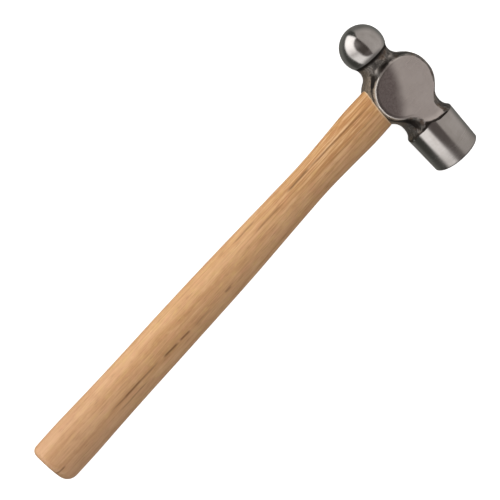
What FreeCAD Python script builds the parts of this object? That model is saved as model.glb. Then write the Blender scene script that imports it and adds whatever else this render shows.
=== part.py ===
"""Ball peen hammer, 32 oz pattern: forged head, hickory handle, one wood wedge, two steel wedges.

The hammer lies on its side: +X runs along the handle from the butt to the head, +Y points to
the peen, -Y to the striking face and +Z is up, square to the ground cheeks. The origin is the
bottom centre of the whole hammer's box. Millimetres.

Each piece is drawn about the eye centre, where the handle's axis crosses the striking axis,
and then placed by one shared placement.
"""
import FreeCAD, Part
import math
import os

import Sketcher

V = FreeCAD.Vector
OUT_DIR = "parts"

# ---------------------------------------------------------------- driving dimensions
# alias: (value, what it is), all in mm
SIZES = {
    # striking axis, measured from the eye centre
    "ball_centre": (40.2, "eye centre to the centre of the ball"),
    "ball_radius": (17.4, "radius of the ball"),
    "ball_skirt": (7.6, "ball centre down to the ball's base edge"),
    "peen_neck_sweep": (10.3, "radius of the hollow between ball and body"),
    "body_shift": (1.2, "fullest section of the body, towards the face"),
    "body_arc": (23.5, "radius of the body's outline"),
    "body_offset": (5.3, "centre of that outline, off the striking axis"),
    "poll_neck_sweep": (14.3, "radius of the hollow between body and poll"),
    "shoulder_reach": (38.3, "eye centre to the poll's shoulder edge"),
    "shoulder_radius": (20.8, "poll radius at the shoulder"),
    "rim_reach": (70.0, "eye centre to the start of the rim chamfer"),
    "rim_radius": (19.9, "poll radius at the rim"),
    "rim_chamfer": (0.9, "chamfer round the striking face"),
    "face_reach": (72.2, "eye centre to the middle of the crowned face"),
    # ground cheeks
    "cheek_half": (14.0, "half the thickness between the two ground cheeks"),
    "cheek_end": (35.6, "where the ground flats stop, short of the shoulder"),
    "cheek_start": (27.4, "where the cut for the ground flats starts, in the peen neck"),
    # the peen neck is thinner between the cheeks than across them
    "relief_start": (20.2, "where each cheek ends and the neck's relief begins"),
    "relief_end": (32.4, "far end of the relief, just short of the ball's base"),
    "relief_rise": (15.9, "half thickness at that far end, just clear of the neck"),
    "relief_sweep": (7.2, "radius of the relief"),
    # eye, an hourglass oval through the head; the tenon fills it
    "eye_mouth_width": (30.0, "eye width at both mouths, along the striking axis"),
    "eye_mouth_height": (20.5, "eye height at both mouths"),
    "eye_waist_width": (27.0, "eye width at its waist"),
    "eye_waist_height": (18.0, "eye height at its waist"),
    "eye_span": (31.0, "eye centre to the oval drawn just outside each mouth"),
    "tenon_top": (26.0, "eye centre to the level land on top of the head and on the tenon"),
    # handle
    "butt_round": (5.0, "rounding of the butt's edge"),
    # wedges
    "kerf_top": (3.6, "thickness of the wood wedge at the top of the eye"),
    "kerf_tip": (1.0, "thickness of the wood wedge at its tip"),
    "kerf_depth": (30.0, "length of the wood wedge"),
    "wedge_top": (2.8, "thickness of a steel wedge at its head"),
    "wedge_tip": (0.8, "thickness of a steel wedge at its tip"),
    "wedge_length": (19.0, "length of a steel wedge"),
    "wedge_width": (13.0, "width of a steel wedge, across the wood wedge"),
    "wedge_step": (0.3, "barb at each step of a steel wedge"),
    "wedge_pitch": (6.5, "each steel wedge to the eye centre"),
}

# The handle's oval sections: distance from the eye centre towards the butt, width across the
# swing and thickness. The palm swell is at the butt and the waist is under the head.
HANDLE_SECTIONS = [
    ("butt", 373.0, 35.8, 26.2),
    ("heel", 355.0, 36.0, 26.6),
    ("palm", 318.0, 34.8, 26.4),
    ("grip", 245.0, 34.2, 26.2),
    ("taper", 175.0, 32.7, 25.0),
    ("neck", 130.0, 30.4, 23.4),
    ("waist", 94.0, 29.2, 22.6),
    ("flare", 66.0, 31.2, 23.6),
    ("collar", 44.0, 33.3, 24.8),
    ("seat", 17.0, 32.8, 24.4),
]


def size(alias):
    return SIZES[alias][0]


def size_of(section):
    """Reach, width and thickness of one of the handle's sections."""
    return next(row[1:] for row in HANDLE_SECTIONS if row[0] == section)


# ---------------------------------------------------------------- document helpers
def make_sheet(doc):
    """The spreadsheet holds every driving dimension under its alias."""
    sheet = doc.addObject("Spreadsheet::Sheet", "sizes")
    rows = dict(SIZES)
    for name, reach, width, thick in HANDLE_SECTIONS:
        rows[name + "_reach"] = (reach, "eye centre to the " + name + " section")
        rows[name + "_width"] = (width, "handle width at the " + name)
        rows[name + "_thick"] = (thick, "handle thickness at the " + name)
    for row, (alias, (value, note)) in enumerate(rows.items(), start=1):
        sheet.set("A%d" % row, note)
        sheet.set("B%d" % row, str(value))
        sheet.setAlias("B%d" % row, alias)
    doc.recompute()
    return sheet


def make_body(doc, name):
    body = doc.addObject("PartDesign::Body", name)
    body.Label = name
    return body


def add_sketch(body, name, role, offset=None):
    """A sketch on one of the body's own origin planes, moved along its normal by offset."""
    plane = next(f for f in body.Origin.OriginFeatures if f.Role == role)
    sketch = body.newObject("Sketcher::SketchObject", name)
    sketch.AttachmentSupport = [(plane, "")]
    sketch.MapMode = "FlatFace"
    if offset:
        sketch.setExpression(".AttachmentOffset.Base.z", offset)
    return sketch


def drive(sketch, name, constraint, expression):
    """Add a dimension to the sketch and bind it to the sheet."""
    index = sketch.addConstraint(constraint)
    sketch.renameConstraint(index, name)
    sketch.setExpression("Constraints." + name, expression)


def arc(cx, cy, radius, start, end):
    circle = Part.Circle(V(cx, cy, 0), V(0, 0, 1), radius)
    return Part.ArcOfCircle(circle, math.radians(start), math.radians(end))


def line(x1, y1, x2, y2):
    return Part.LineSegment(V(x1, y1, 0), V(x2, y2, 0))


def add_oval(sketch, width, height, width_expr, height_expr):
    """An ellipse about the sketch's origin: width along its x, height along its y."""
    ellipse = Part.Ellipse(V(width / 2, 0, 0), V(0, height / 2, 0), V(0, 0, 0))
    index = sketch.addGeometry(ellipse, False)
    sketch.exposeInternalGeometry(index)
    major, minor = index + 1, index + 2
    sketch.addConstraint(Sketcher.Constraint("Coincident", index, 3, -1, 1))
    sketch.addConstraint(Sketcher.Constraint("Horizontal", major))
    drive(sketch, "across", Sketcher.Constraint("Distance", major, width), width_expr)
    drive(sketch, "through", Sketcher.Constraint("Distance", minor, height), height_expr)


def add_polygon(sketch, points):
    """A closed outline; every corner is placed by a pair of driven distances from the origin.

    Each point is (x, y, x expression, y expression) with the expressions for |x| and |y|. A
    point with no y expression lies on the sketch's x axis.
    """
    count = len(points)
    for i in range(count):
        x1, y1 = points[i][:2]
        x2, y2 = points[(i + 1) % count][:2]
        sketch.addGeometry(line(x1, y1, x2, y2), False)
    for i in range(count):
        sketch.addConstraint(Sketcher.Constraint("Coincident", i, 2, (i + 1) % count, 1))
    for i, (x, y, x_expr, y_expr) in enumerate(points):
        for axis, value, expr in (("X", x, x_expr), ("Y", y, y_expr)):
            if expr is None:
                sketch.addConstraint(Sketcher.Constraint("PointOnObject", i, 1, -1))
                continue
            ends = (-1, 1, i, 1) if value > 0 else (i, 1, -1, 1)
            dimension = Sketcher.Constraint("Distance" + axis, *ends, abs(value))
            drive(sketch, "p%d%s" % (i, axis.lower()), dimension, expr)


def place(obj):
    """Move a piece from the eye centre to its place in the hammer's frame."""
    for axis, expression in (
        ("x", "(sizes.butt_reach + sizes.butt_round - sizes.tenon_top) / 2"),
        ("y", "(sizes.face_reach - sizes.ball_centre - sizes.ball_radius) / 2"),
        ("z", "sizes.shoulder_radius"),
    ):
        obj.setExpression(".Placement.Base." + axis, expression)


def pocket(body, name, sketch, length_expr=None):
    """Cut a sketch both ways from its plane, right through unless a whole length is given."""
    before = body.Tip.Shape.Volume
    cut = body.newObject("PartDesign::Pocket", name)
    cut.Profile = sketch
    cut.SideType = "Symmetric"
    if length_expr:
        cut.Type = "Length"
        cut.setExpression("Length", length_expr)
    else:
        cut.Type = "ThroughAll"
    body.Document.recompute()
    if cut.Shape.Volume >= before - 1.0:
        raise RuntimeError(name + " cuts nothing")


def trim_top(body):
    """Cut a level land on top, the same on the head, the tenon and the wood wedge."""
    sketch = add_sketch(body, body.Name + "_trim_outline", "XY_Plane")
    far, wide = size("eye_span") + 1, size("eye_mouth_width")
    add_polygon(sketch, [
        (size("tenon_top"), -wide, "sizes.tenon_top", "sizes.eye_mouth_width"),
        (far, -wide, "sizes.eye_span + 1", "sizes.eye_mouth_width"),
        (far, wide, "sizes.eye_span + 1", "sizes.eye_mouth_width"),
        (size("tenon_top"), wide, "sizes.tenon_top", "sizes.eye_mouth_width"),
    ])
    body.Document.recompute()
    pocket(body, body.Name + "_trim", sketch)


# ---------------------------------------------------------------- head
def hollow_centre(corner, body, body_r, sweep, side):
    """Centre of a hollow arc that starts at a corner and runs tangent into the body's arc."""
    gap = corner - body
    along = (gap.Length ** 2 + (body_r + sweep) ** 2 - sweep ** 2) / (2 * gap.Length)
    off = math.sqrt((body_r + sweep) ** 2 - along ** 2)
    unit = V(gap).normalize()
    return body + unit * along + V(unit.y, -unit.x, 0) * off * side


def bearing(centre, point):
    return math.degrees(math.atan2(point.y - centre.y, point.x - centre.x)) % 360


def add_head_profile(sketch):
    """Half outline of the head: x is the distance from the striking axis, y runs to the peen."""
    ball_r, skirt, ball_c = size("ball_radius"), size("ball_skirt"), size("ball_centre")
    sweep_1, sweep_2 = size("peen_neck_sweep"), size("poll_neck_sweep")
    body_r, body_c = size("body_arc"), V(size("body_offset"), -size("body_shift"), 0)
    base = V(math.sqrt(ball_r ** 2 - skirt ** 2), ball_c - skirt, 0)
    shoulder = V(size("shoulder_radius"), -size("shoulder_reach"), 0)
    chamfer = size("rim_chamfer")
    rim = V(size("rim_radius"), -size("rim_reach"), 0)
    corner = rim - V(chamfer, chamfer, 0)
    face_y = -size("face_reach")
    rise = corner.y - face_y
    crown = (corner.x ** 2 + rise ** 2) / (2 * rise)
    crown_end = 270 + math.degrees(math.asin(corner.x / crown))
    neck_1 = hollow_centre(base, body_c, body_r, sweep_1, 1)
    neck_2 = hollow_centre(shoulder, body_c, body_r, sweep_2, -1)
    up_1, up_2 = bearing(body_c, neck_1), bearing(body_c, neck_2) - 360
    base_turn = -math.degrees(math.asin(skirt / ball_r))

    ball, hollow_1, body, hollow_2, barrel, bevel, face, axis = range(8)
    for shape in (
        arc(0, ball_c, ball_r, base_turn, 90),
        arc(neck_1.x, neck_1.y, sweep_1, bearing(neck_1, base), up_1 + 180),
        arc(body_c.x, body_c.y, body_r, up_2, up_1),
        arc(neck_2.x, neck_2.y, sweep_2, up_2 + 180, bearing(neck_2, shoulder)),
        line(shoulder.x, shoulder.y, rim.x, rim.y),
        line(rim.x, rim.y, corner.x, corner.y),
        arc(0, face_y + crown, crown, 270, crown_end),
        line(0, face_y, 0, ball_c + ball_r),
    ):
        sketch.addGeometry(shape, False)

    join = Sketcher.Constraint
    for constraint in (
        join("Coincident", ball, 1, hollow_1, 1),
        join("Tangent", hollow_1, 2, body, 2),
        join("Tangent", body, 1, hollow_2, 1),
        join("Coincident", hollow_2, 2, barrel, 1),
        join("Coincident", barrel, 2, bevel, 1),
        join("Coincident", bevel, 2, face, 2),
        join("Coincident", face, 1, axis, 1),
        join("Coincident", axis, 2, ball, 2),
        join("PointOnObject", ball, 3, -2),
        join("PointOnObject", ball, 2, -2),
        join("PointOnObject", face, 3, -2),
        join("PointOnObject", face, 1, -2),
    ):
        sketch.addConstraint(constraint)

    for name, constraint, alias in (
        ("ball_r", join("Radius", ball, ball_r), "ball_radius"),
        ("ball_c", join("DistanceY", -1, 1, ball, 3, ball_c), "ball_centre"),
        ("skirt", join("DistanceY", ball, 1, ball, 3, skirt), "ball_skirt"),
        ("neck_1_r", join("Radius", hollow_1, sweep_1), "peen_neck_sweep"),
        ("body_r", join("Radius", body, body_r), "body_arc"),
        ("body_x", join("DistanceX", -1, 1, body, 3, body_c.x), "body_offset"),
        ("body_y", join("DistanceY", body, 3, -1, 1, -body_c.y), "body_shift"),
        ("neck_2_r", join("Radius", hollow_2, sweep_2), "poll_neck_sweep"),
        ("shoulder_x", join("DistanceX", -1, 1, barrel, 1, shoulder.x), "shoulder_radius"),
        ("shoulder_y", join("DistanceY", barrel, 1, -1, 1, -shoulder.y), "shoulder_reach"),
        ("rim_x", join("DistanceX", -1, 1, barrel, 2, rim.x), "rim_radius"),
        ("rim_y", join("DistanceY", barrel, 2, -1, 1, -rim.y), "rim_reach"),
        ("bevel_x", join("DistanceX", bevel, 2, bevel, 1, chamfer), "rim_chamfer"),
        ("bevel_y", join("DistanceY", bevel, 2, bevel, 1, chamfer), "rim_chamfer"),
        ("face_y", join("DistanceY", face, 1, -1, 1, -face_y), "face_reach"),
    ):
        drive(sketch, name, constraint, "sizes." + alias)


def add_eye_ovals(body):
    """The three ovals of the hourglass eye: the lower mouth, the waist and the upper mouth."""
    stations = (
        ("lower_mouth", "-sizes.eye_span", "mouth"),
        ("eye_waist", None, "waist"),
        ("upper_mouth", "sizes.eye_span", "mouth"),
    )
    sketches = []
    for name, offset, kind in stations:
        sketch = add_sketch(body, body.Name + "_" + name, "YZ_Plane", offset)
        width, height = "eye_" + kind + "_width", "eye_" + kind + "_height"
        add_oval(sketch, size(width), size(height), "sizes." + width, "sizes." + height)
        sketches.append(sketch)
    return sketches


def loft(body, kind, name, sketches):
    feature = body.newObject("PartDesign::" + kind, name)
    feature.Profile = sketches[0]
    feature.Sections = sketches[1:]
    feature.Ruled = False
    body.Document.recompute()
    return feature


def add_relief_outline(sketch, side):
    """The hollow in the peen neck seen along the handle: x to the peen, y up."""
    start, start_z = size("relief_start"), size("cheek_half")
    end, end_z, sweep = size("relief_end"), size("relief_rise"), size("relief_sweep")
    top = size("shoulder_radius") + size("body_arc")
    gap = V(end - start, end_z - start_z, 0)
    off = math.sqrt(sweep ** 2 - (gap.Length / 2) ** 2)
    unit = V(gap).normalize()
    centre = V(start, start_z, 0) + gap * 0.5 + V(-unit.y, unit.x, 0) * off
    turn_1 = bearing(centre, V(start, start_z, 0))
    turn_2 = bearing(centre, V(end, end_z, 0))
    if side > 0:
        hollow, first, last = arc(centre.x, centre.y, sweep, turn_1, turn_2 + 360), 1, 2
    else:
        hollow, first, last = arc(centre.x, -centre.y, sweep, -turn_2, -turn_1), 2, 1
    sketch.addGeometry(hollow, False)
    sketch.addGeometry(line(end, side * end_z, end, side * top), False)
    sketch.addGeometry(line(end, side * top, start, side * top), False)
    sketch.addGeometry(line(start, side * top, start, side * start_z), False)
    join = Sketcher.Constraint
    for constraint in (
        join("Coincident", 0, last, 1, 1), join("Coincident", 1, 2, 2, 1),
        join("Coincident", 2, 2, 3, 1), join("Coincident", 3, 2, 0, first),
        join("Vertical", 1), join("Horizontal", 2), join("Vertical", 3),
    ):
        sketch.addConstraint(constraint)

    def height(geometry, point, value):
        ends = (-1, 1, geometry, point) if side > 0 else (geometry, point, -1, 1)
        return join("DistanceY", *ends, value)

    for name, constraint, expression in (
        ("sweep", join("Radius", 0, sweep), "sizes.relief_sweep"),
        ("start_y", join("DistanceX", -1, 1, 3, 2, start), "sizes.relief_start"),
        ("start_z", height(3, 2, start_z), "sizes.cheek_half"),
        ("end_y", join("DistanceX", -1, 1, 1, 1, end), "sizes.relief_end"),
        ("end_z", height(1, 1, end_z), "sizes.relief_rise"),
        ("top_z", height(2, 1, top), "sizes.shoulder_radius + sizes.body_arc"),
    ):
        drive(sketch, name, constraint, expression)


def make_head(doc):
    body = make_body(doc, "head")
    profile = add_sketch(body, "head_profile", "XY_Plane")
    add_head_profile(profile)
    doc.recompute()
    turned = body.newObject("PartDesign::Revolution", "turned_head")
    turned.Profile = profile
    turned.ReferenceAxis = (profile, ["V_Axis"])
    turned.Angle = 360
    doc.recompute()

    # the two ground cheeks, cut square to Z on either side
    beyond = size("shoulder_radius") + size("body_arc")
    far = "sizes.shoulder_radius + sizes.body_arc"
    for name, side in (("upper_cheek", 1), ("lower_cheek", -1)):
        sketch = add_sketch(body, name + "_outline", "YZ_Plane")
        low, high = side * size("cheek_half"), side * beyond
        add_polygon(sketch, [
            (-size("cheek_end"), low, "sizes.cheek_end", "sizes.cheek_half"),
            (size("cheek_start"), low, "sizes.cheek_start", "sizes.cheek_half"),
            (size("cheek_start"), high, "sizes.cheek_start", far),
            (-size("cheek_end"), high, "sizes.cheek_end", far),
        ])
        doc.recompute()
        pocket(body, name, sketch)
    for name, side in (("upper_relief", 1), ("lower_relief", -1)):
        sketch = add_sketch(body, name + "_outline", "YZ_Plane")
        add_relief_outline(sketch, side)
        doc.recompute()
        pocket(body, name, sketch)

    before = body.Tip.Shape.Volume
    eye = loft(body, "SubtractiveLoft", "eye", add_eye_ovals(body))
    if eye.Shape.Volume > before - 1000:
        raise RuntimeError("the eye cuts nothing")
    trim_top(body)
    place(body)
    return body


def add_crown_outline(sketch):
    """Everything outside the body's outline above the eye: x along the handle, y to the peen."""
    radius, offset, shift = size("body_arc"), size("body_offset"), size("body_shift")
    half, far = size("eye_mouth_width") / 2 + 2, size("eye_span") + 1
    rise = math.degrees(math.asin((half + shift) / radius))
    fall = math.degrees(math.asin((-half + shift) / radius))
    top_x = offset + radius * math.cos(math.radians(rise))
    low_x = offset + radius * math.cos(math.radians(fall))
    sketch.addGeometry(arc(offset, -shift, radius, fall, rise), False)
    sketch.addGeometry(line(top_x, half, far, half), False)
    sketch.addGeometry(line(far, half, far, -half), False)
    sketch.addGeometry(line(far, -half, low_x, -half), False)
    join = Sketcher.Constraint
    for constraint in (
        join("Coincident", 0, 2, 1, 1), join("Coincident", 1, 2, 2, 1),
        join("Coincident", 2, 2, 3, 1), join("Coincident", 3, 2, 0, 1),
        join("Horizontal", 1), join("Vertical", 2), join("Horizontal", 3),
    ):
        sketch.addConstraint(constraint)
    for name, constraint, expression in (
        ("radius", join("Radius", 0, radius), "sizes.body_arc"),
        ("offset", join("DistanceX", -1, 1, 0, 3, offset), "sizes.body_offset"),
        ("shift", join("DistanceY", 0, 3, -1, 1, shift), "sizes.body_shift"),
        ("far", join("DistanceX", -1, 1, 1, 2, far), "sizes.eye_span + 1"),
        ("high", join("DistanceY", -1, 1, 1, 2, half), "sizes.eye_mouth_width / 2 + 2"),
        ("low", join("DistanceY", 2, 2, -1, 1, half), "sizes.eye_mouth_width / 2 + 2"),
    ):
        drive(sketch, name, constraint, expression)


def dress_crown(body):
    """Dress the piece's end flush with the head's rounded crown, each side of the level land."""
    sketch = add_sketch(body, body.Name + "_crown_outline", "XY_Plane")
    add_crown_outline(sketch)
    body.Document.recompute()
    before = body.Tip.Shape.Volume
    crown = body.newObject("PartDesign::Groove", body.Name + "_crown")
    crown.Profile = sketch
    crown.ReferenceAxis = (sketch, ["V_Axis"])
    crown.Midplane = True
    crown.Angle = 170
    body.Document.recompute()
    if crown.Shape.Volume >= before - 1.0:
        raise RuntimeError(body.Name + "'s crown isn't dressed")


# ---------------------------------------------------------------- wedges and their seats
def add_kerf_outline(sketch):
    """The wood wedge seen along the striking axis: x along the handle, y up."""
    top_x, tip_x = size("tenon_top"), size("tenon_top") - size("kerf_depth")
    tip_reach = "abs(sizes.tenon_top - sizes.kerf_depth)"
    top, tip = size("kerf_top") / 2, size("kerf_tip") / 2
    add_polygon(sketch, [
        (tip_x, -tip, tip_reach, "sizes.kerf_tip / 2"),
        (top_x, -top, "sizes.tenon_top", "sizes.kerf_top / 2"),
        (top_x, top, "sizes.tenon_top", "sizes.kerf_top / 2"),
        (tip_x, tip, tip_reach, "sizes.kerf_tip / 2"),
    ])


def add_waste_outline(sketch, side):
    """Everything on one side of the wood wedge, which leaves the wedge out of the eye's shape."""
    top_x, tip_x = size("tenon_top"), size("tenon_top") - size("kerf_depth")
    tip_reach = "abs(sizes.tenon_top - sizes.kerf_depth)"
    far, high = size("eye_span") + 1, side * size("eye_mouth_height")
    far_expr, high_expr = "sizes.eye_span + 1", "sizes.eye_mouth_height"
    top, tip = side * size("kerf_top") / 2, side * size("kerf_tip") / 2
    add_polygon(sketch, [
        (-far, 0, far_expr, None),
        (tip_x, 0, tip_reach, None),
        (tip_x, tip, tip_reach, "sizes.kerf_tip / 2"),
        (top_x, top, "sizes.tenon_top", "sizes.kerf_top / 2"),
        (top_x, 0, "sizes.tenon_top", None),
        (far, 0, far_expr, None),
        (far, high, far_expr, high_expr),
        (-far, high, far_expr, high_expr),
    ])


def add_steel_outline(sketch, side):
    """A barbed steel wedge seen from above, on one side of the eye centre."""
    steps, top_x, length = 3, size("tenon_top"), size("wedge_length")
    flank = []
    for i in range(steps):
        for part, barb in ((i / steps, 0), ((i + 1) / steps, 1 if i < steps - 1 else 0)):
            half = (size("wedge_top") * (1 - part) + size("wedge_tip") * part) / 2
            half -= barb * size("wedge_step")
            half_expr = "(sizes.wedge_top * %.6f + sizes.wedge_tip * %.6f) / 2" % (1 - part, part)
            if barb:
                half_expr += " - sizes.wedge_step"
            x_expr = "sizes.tenon_top - sizes.wedge_length * %.6f" % part
            flank.append((top_x - length * part, half, x_expr, half_expr))
    pitch = size("wedge_pitch")
    outer = [(x, side * (pitch + w), xe, "sizes.wedge_pitch + " + we) for x, w, xe, we in flank]
    inner = [(x, side * (pitch - w), xe, "sizes.wedge_pitch - (" + we + ")") for x, w, xe, we in flank]
    add_polygon(sketch, outer + inner[::-1])


def cut_steel_slots(body):
    for name, side in (("front", -1), ("rear", 1)):
        sketch = add_sketch(body, body.Name + "_" + name + "_slot_outline", "XY_Plane")
        add_steel_outline(sketch, side)
        body.Document.recompute()
        pocket(body, body.Name + "_" + name + "_slot", sketch, "sizes.wedge_width")


# ---------------------------------------------------------------- handle
def add_scribe_outline(sketch):
    """The head's body as a closed outline, to be turned about the striking axis."""
    radius, offset, shift = size("body_arc"), size("body_offset"), size("body_shift")
    half = size("eye_mouth_width") / 2 + 4
    span = "sizes.eye_mouth_width / 2 + 4"
    rise = math.degrees(math.asin((half + shift) / radius))
    fall = math.degrees(math.asin((-half + shift) / radius))
    top_x = offset + radius * math.cos(math.radians(rise))
    low_x = offset + radius * math.cos(math.radians(fall))
    sketch.addGeometry(arc(offset, -shift, radius, fall, rise), False)
    sketch.addGeometry(line(top_x, half, 0, half), False)
    sketch.addGeometry(line(0, half, 0, -half), False)
    sketch.addGeometry(line(0, -half, low_x, -half), False)
    join = Sketcher.Constraint
    for constraint in (
        join("Coincident", 0, 2, 1, 1), join("Coincident", 1, 2, 2, 1),
        join("Coincident", 2, 2, 3, 1), join("Coincident", 3, 2, 0, 1),
        join("PointOnObject", 1, 2, -2), join("PointOnObject", 3, 1, -2),
        join("Horizontal", 1), join("Horizontal", 3),
    ):
        sketch.addConstraint(constraint)
    drive(sketch, "radius", join("Radius", 0, radius), "sizes.body_arc")
    drive(sketch, "offset", join("DistanceX", -1, 1, 0, 3, offset), "sizes.body_offset")
    drive(sketch, "shift", join("DistanceY", 0, 3, -1, 1, shift), "sizes.body_shift")
    drive(sketch, "top", join("DistanceY", -1, 1, 1, 2, half), span)
    drive(sketch, "low", join("DistanceY", 3, 1, -1, 1, half), span)


def add_butt_cap(body):
    """Round the butt over from the first full section to the flat end, a quarter turn in steps."""
    width, thick, radius = size_of("butt")[1], size_of("butt")[2], size("butt_round")
    steps, ovals = 5, []
    for i in range(steps + 1):
        turn = math.radians(90 * i / steps)
        inset, ahead = 1 - math.cos(turn), math.sin(turn)
        offset = "-sizes.butt_reach - sizes.butt_round * %.6f" % ahead
        sketch = add_sketch(body, "butt_cap_%d" % i, "YZ_Plane", offset)
        less = " - 2 * sizes.butt_round * %.6f" % inset
        add_oval(sketch, width - 2 * radius * inset, thick - 2 * radius * inset,
                 "sizes.butt_width" + less, "sizes.butt_thick" + less)
        ovals.append(sketch)
    body.Document.recompute()
    loft(body, "AdditiveLoft", "butt_cap", ovals)


def make_handle(doc):
    body = make_body(doc, "handle")
    ovals = []
    for name, reach, width, thick in HANDLE_SECTIONS:
        sketch = add_sketch(body, name + "_section", "YZ_Plane", "-sizes." + name + "_reach")
        add_oval(sketch, width, thick, "sizes." + name + "_width", "sizes." + name + "_thick")
        ovals.append(sketch)
    doc.recompute()
    loft(body, "AdditiveLoft", "grip", ovals)
    add_butt_cap(body)

    # the grip's end is scribed to the head, so wood meets steel face to face
    outline = add_sketch(body, "scribe_outline", "XY_Plane")
    add_scribe_outline(outline)
    doc.recompute()
    before = body.Tip.Shape.Volume
    scribe = body.newObject("PartDesign::Groove", "scribed_shoulder")
    scribe.Profile = outline
    scribe.ReferenceAxis = (outline, ["V_Axis"])
    scribe.Angle = 360
    doc.recompute()
    if scribe.Shape.Volume > before - 100:
        raise RuntimeError("the shoulder isn't scribed")

    # the tenon has the eye's own shape, and is dressed flush with the top of the head
    loft(body, "AdditiveLoft", "tenon", add_eye_ovals(body))
    trim_top(body)
    dress_crown(body)

    kerf = add_sketch(body, "kerf_outline", "XZ_Plane")
    add_kerf_outline(kerf)
    doc.recompute()
    pocket(body, "kerf", kerf)
    cut_steel_slots(body)
    place(body)
    return body


# ---------------------------------------------------------------- the wedges themselves
def make_wood_wedge(doc):
    body = make_body(doc, "wood_wedge")
    loft(body, "AdditiveLoft", "wedge_blank", add_eye_ovals(body))
    trim_top(body)
    dress_crown(body)
    for name, side in (("upper", 1), ("lower", -1)):
        sketch = add_sketch(body, name + "_waste_outline", "XZ_Plane")
        add_waste_outline(sketch, side)
        doc.recompute()
        pocket(body, name + "_waste", sketch)
    cut_steel_slots(body)
    place(body)
    return body


def make_steel_wedge(doc, name, side):
    body = make_body(doc, name)
    sketch = add_sketch(body, name + "_outline", "XY_Plane")
    add_steel_outline(sketch, side)
    doc.recompute()
    pad = body.newObject("PartDesign::Pad", name + "_pad")
    pad.Profile = sketch
    pad.SideType = "Symmetric"
    pad.setExpression("Length", "sizes.wedge_width")
    doc.recompute()
    place(body)
    return body


# ---------------------------------------------------------------- build and export
def check(doc, pieces):
    """Stop if anything failed to build, before a file is written."""
    for obj in doc.Objects:
        if "Invalid" in obj.State or "Error" in obj.State:
            raise RuntimeError("%s failed: %s" % (obj.Name, obj.State))
    for piece in pieces:
        if piece.Shape.isNull() or not piece.Shape.isValid():
            raise RuntimeError(piece.Label + " has no valid shape")
        if len(piece.Shape.Solids) != 1:
            raise RuntimeError("%s has %d solids" % (piece.Label, len(piece.Shape.Solids)))


def main():
    doc = FreeCAD.newDocument("ball_peen_hammer")
    make_sheet(doc)
    pieces = [
        make_head(doc),
        make_handle(doc),
        make_wood_wedge(doc),
        make_steel_wedge(doc, "front_steel_wedge", -1),
        make_steel_wedge(doc, "rear_steel_wedge", 1),
    ]
    doc.recompute()
    check(doc, pieces)
    os.makedirs(OUT_DIR, exist_ok=True)
    for piece in pieces:
        box = piece.Shape.BoundBox
        print("%-18s %9.1f mm3  x %.1f..%.1f  y %.1f..%.1f  z %.1f..%.1f" % (
            piece.Label, piece.Shape.Volume, box.XMin, box.XMax, box.YMin, box.YMax, box.ZMin, box.ZMax))
        piece.Shape.exportStep(os.path.join(OUT_DIR, piece.Label + ".step"))


main()
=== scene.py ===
"""Looks for the ball peen hammer: a forged and ground head, a lacquered hickory handle, wedges.

Shapes are drawn in millimetres about the eye centre, where the handle's axis crosses the
striking axis, and moved to their place in the hammer's frame when a mesh is made. In that frame
+X runs from the butt to the head, +Y to the peen and +Z up, square to the ground cheeks.
"""

import math

import bpy
import numpy as np
from mathutils import Matrix, Vector, noise


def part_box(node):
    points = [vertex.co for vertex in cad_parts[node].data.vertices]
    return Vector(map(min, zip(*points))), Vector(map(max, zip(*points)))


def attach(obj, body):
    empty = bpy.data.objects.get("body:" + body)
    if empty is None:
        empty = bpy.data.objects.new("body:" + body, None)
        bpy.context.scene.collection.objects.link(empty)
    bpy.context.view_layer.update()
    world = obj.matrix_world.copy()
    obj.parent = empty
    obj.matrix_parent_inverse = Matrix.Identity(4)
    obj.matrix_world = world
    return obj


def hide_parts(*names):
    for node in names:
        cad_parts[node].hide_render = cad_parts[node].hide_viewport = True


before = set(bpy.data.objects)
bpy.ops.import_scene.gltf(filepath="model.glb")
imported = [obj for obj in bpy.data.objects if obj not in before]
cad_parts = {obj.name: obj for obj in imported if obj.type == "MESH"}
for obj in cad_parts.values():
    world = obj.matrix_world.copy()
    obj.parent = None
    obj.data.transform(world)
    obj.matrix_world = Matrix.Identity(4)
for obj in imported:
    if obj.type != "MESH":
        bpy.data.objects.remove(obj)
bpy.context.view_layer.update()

MM = 0.001

# ---------------------------------------------------------------- sizes, in millimetres
# the head's outline: reach along the striking axis from the eye centre, and radius about that axis
BALL_CENTRE, BALL_RADIUS, BALL_SKIRT = 40.2, 17.4, 7.6
PEEN_NECK_SWEEP, POLL_NECK_SWEEP = 10.3, 14.3
BODY_SHIFT, BODY_ARC, BODY_OFFSET = 1.2, 23.5, 5.3
SHOULDER_REACH, SHOULDER_RADIUS = 38.3, 20.8
RIM_REACH, RIM_RADIUS, RIM_CHAMFER, FACE_REACH = 70.0, 19.9, 0.9, 72.2
CORNER_BREAK = 0.16

# the ground cheeks: their height, the least height that counts as cheek and the soft join to the
# forging, then how they roll over towards the handle, flare up to the poll and are bevelled
CHEEK_HALF, CHEEK_FLOOR, CHEEK_BLEND = 14.0, 8.0, 2.2
ROLL_START, ROLL_RUN, ROLL_CURVE = 5.0, 9.0, 0.003
FLARE_RUN, FLARE_RADIUS, FLARE_RISE = 5.5, 8.0, 0.10
BEVEL_START, BEVEL_RUN, BEVEL_SLOPE = 23.1, 4.0, 0.6
NO_LIMIT = 40.0

# the hollow that thins the peen neck between the cheeks, and the bow of its ridge
RELIEF_START, RELIEF_END, RELIEF_RISE, RELIEF_SWEEP = 20.2, 32.4, 15.9, 7.2
RIDGE_SHIFT, RIDGE_BOW = 0.5, 0.014

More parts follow.
